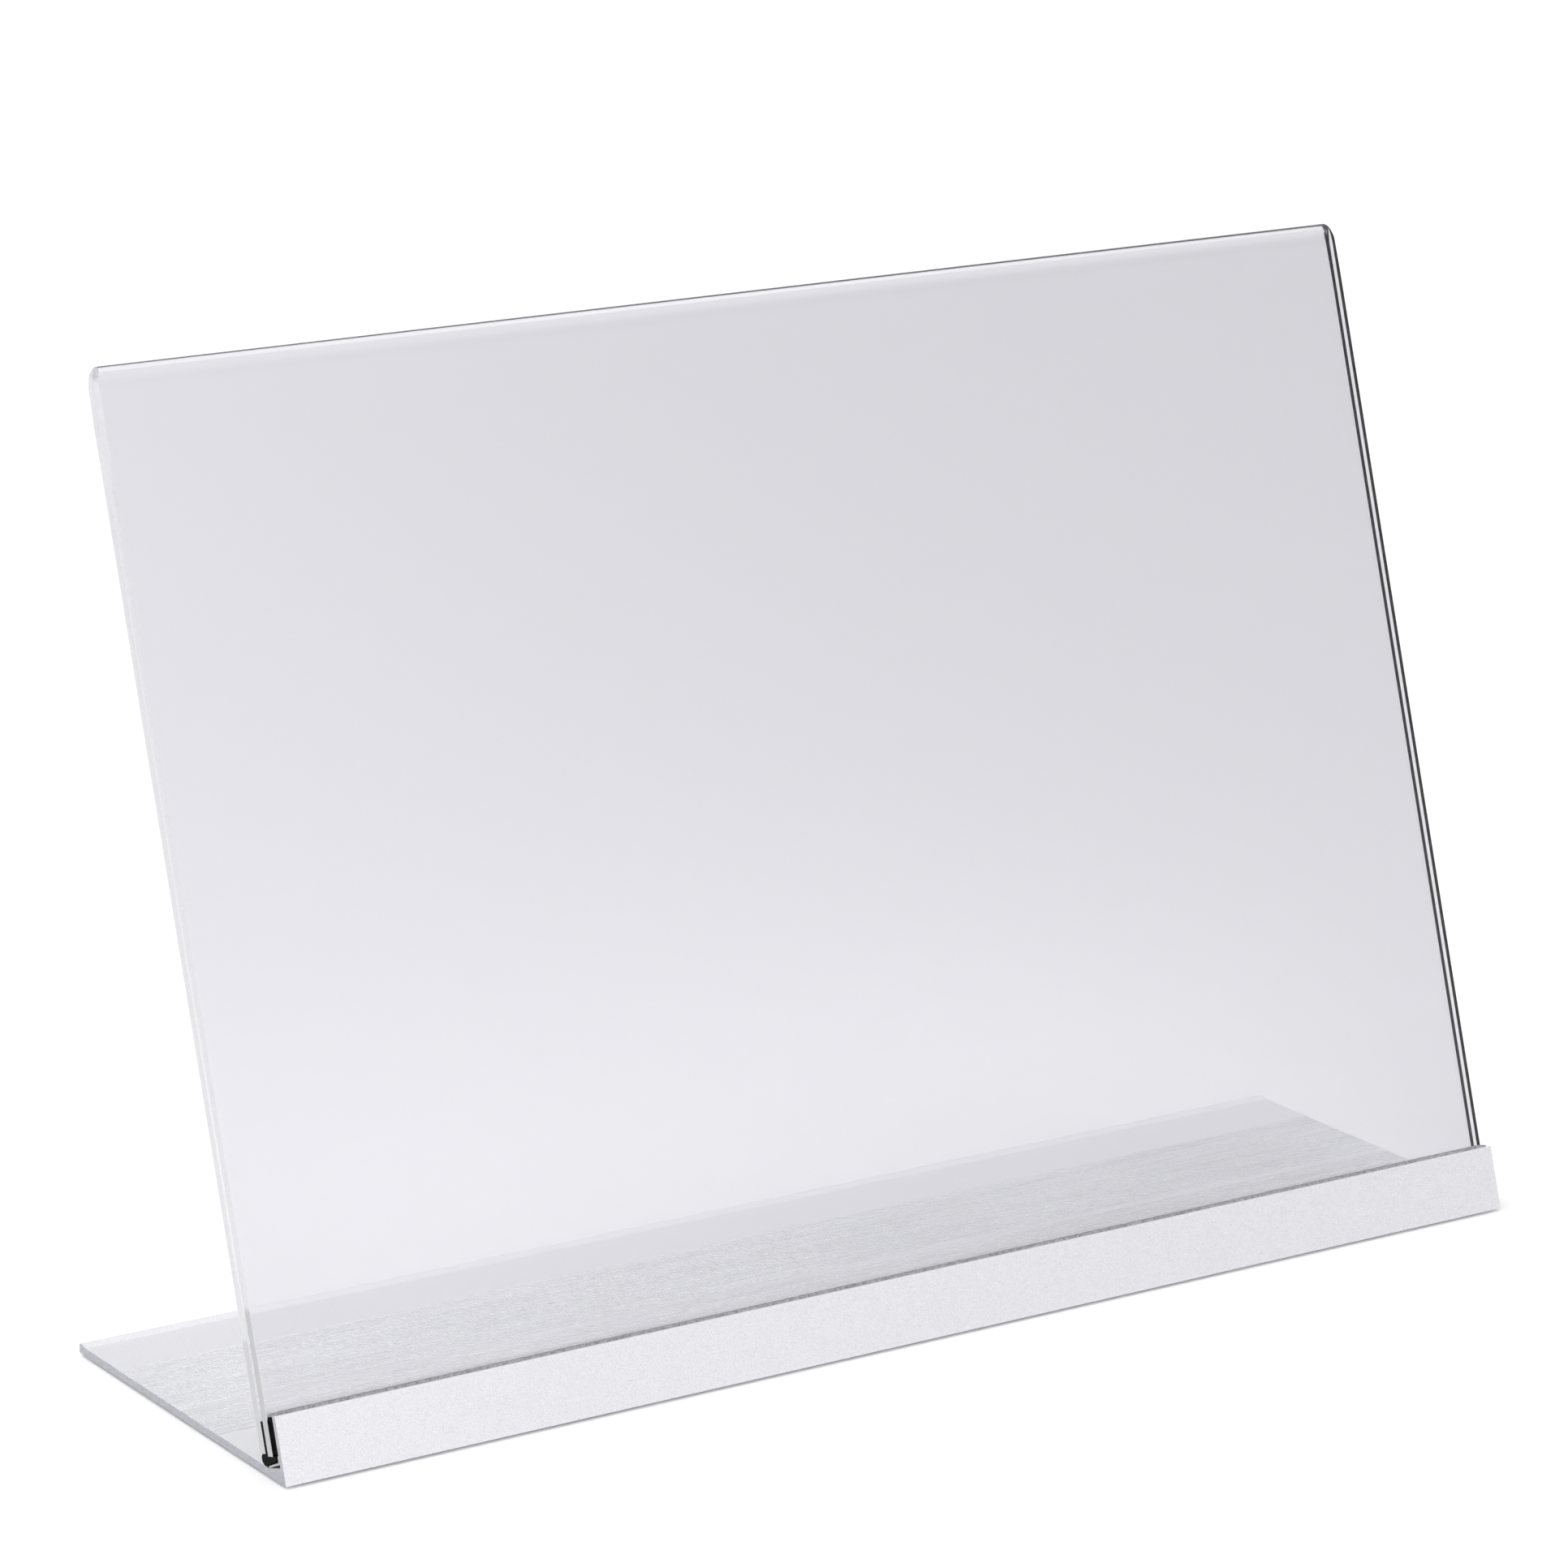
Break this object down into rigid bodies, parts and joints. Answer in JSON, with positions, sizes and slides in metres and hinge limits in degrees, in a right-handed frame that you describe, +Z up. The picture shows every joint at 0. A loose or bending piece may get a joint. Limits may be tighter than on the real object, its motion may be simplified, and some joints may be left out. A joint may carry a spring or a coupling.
{
  "type": "sign stand",
  "caption": "Table-top sign stand: a clear folded acrylic pocket leans back out of a flat ribbed aluminium foot with a low front lip.",
  "frame": {"origin": "centre of the foot's footprint, on the surface that its pads stand on", "axes": "+X along the foot, to the right as seen from the front; +Y from the front lip to the back edge; +Z up"},
  "size_m": [0.3, 0.0879, 0.2075],
  "materials": {
    "foot_metal": "etched and clear anodised, fine grained satin",
    "clear_sheet": "clear polished acrylic with polished edges",
    "black_foam": "matt closed-cell foam with a cut edge",
    "black_rubber": "matt extruded rubber",
    "pale_film": "matt coated film",
    "pad_rubber": "matt rubber"
  },
  "bodies": {
    "root": {"base_profile": "foot_metal", "acrylic_pocket": "clear_sheet", "foam_tape": "black_foam", "bottom_seal": "black_rubber", "carrier_film": "pale_film", "pad_front_left": "pad_rubber", "pad_front_right": "pad_rubber", "pad_rear_left": "pad_rubber", "pad_rear_right": "pad_rubber"}
  },
  "joints": []
}
